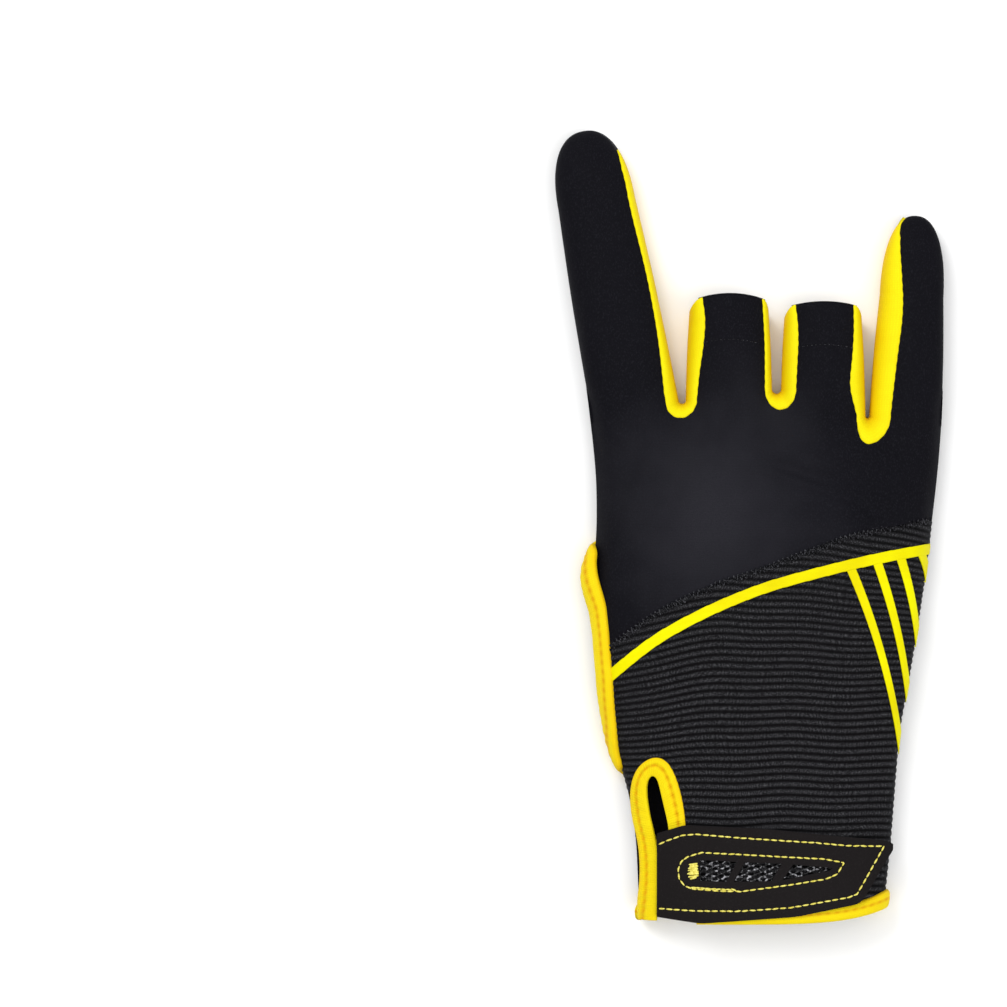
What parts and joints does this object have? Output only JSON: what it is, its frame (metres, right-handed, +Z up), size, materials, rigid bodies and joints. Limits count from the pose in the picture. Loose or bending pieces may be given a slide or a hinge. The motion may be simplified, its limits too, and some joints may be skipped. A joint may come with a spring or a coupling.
{
  "type": "bowling glove",
  "caption": "Right-hand bowling glove lying palm down: long index and little fingers, open middle and ring stubs, thumb hole, bound wrist slit and closing strap.",
  "frame": {"origin": "on the resting plane under the middle of the palm, on the palm's flat face", "axes": "+Y towards the fingertips, +Z up out of the back of the hand, +X towards the little finger"},
  "size_m": [0.1112, 0.2262, 0.0227],
  "materials": {
    "black_fabric": "smooth matte stretch fabric",
    "black_knit": "ribbed elastic knit",
    "yellow_fabric": "smooth stretch fabric",
    "yellow_binding": "woven elastic edging",
    "strap_fabric": "matte coated strap fabric",
    "strap_net": "knitted net with a slight sheen",
    "yellow_film": "smooth satin film"
  },
  "bodies": {
    "root": {"palm_panel": "black_fabric", "back_panel": "black_fabric", "rib_panel": "black_knit", "thumb_binding": "yellow_binding", "slit_binding": "yellow_binding", "cuff_binding": "yellow_binding", "strap": "strap_fabric", "strap_mesh": "strap_net", "stripe_film": "yellow_film", "index_middle_fourchette": "yellow_fabric", "middle_ring_fourchette": "yellow_fabric", "ring_little_fourchette": "yellow_fabric"}
  },
  "joints": []
}
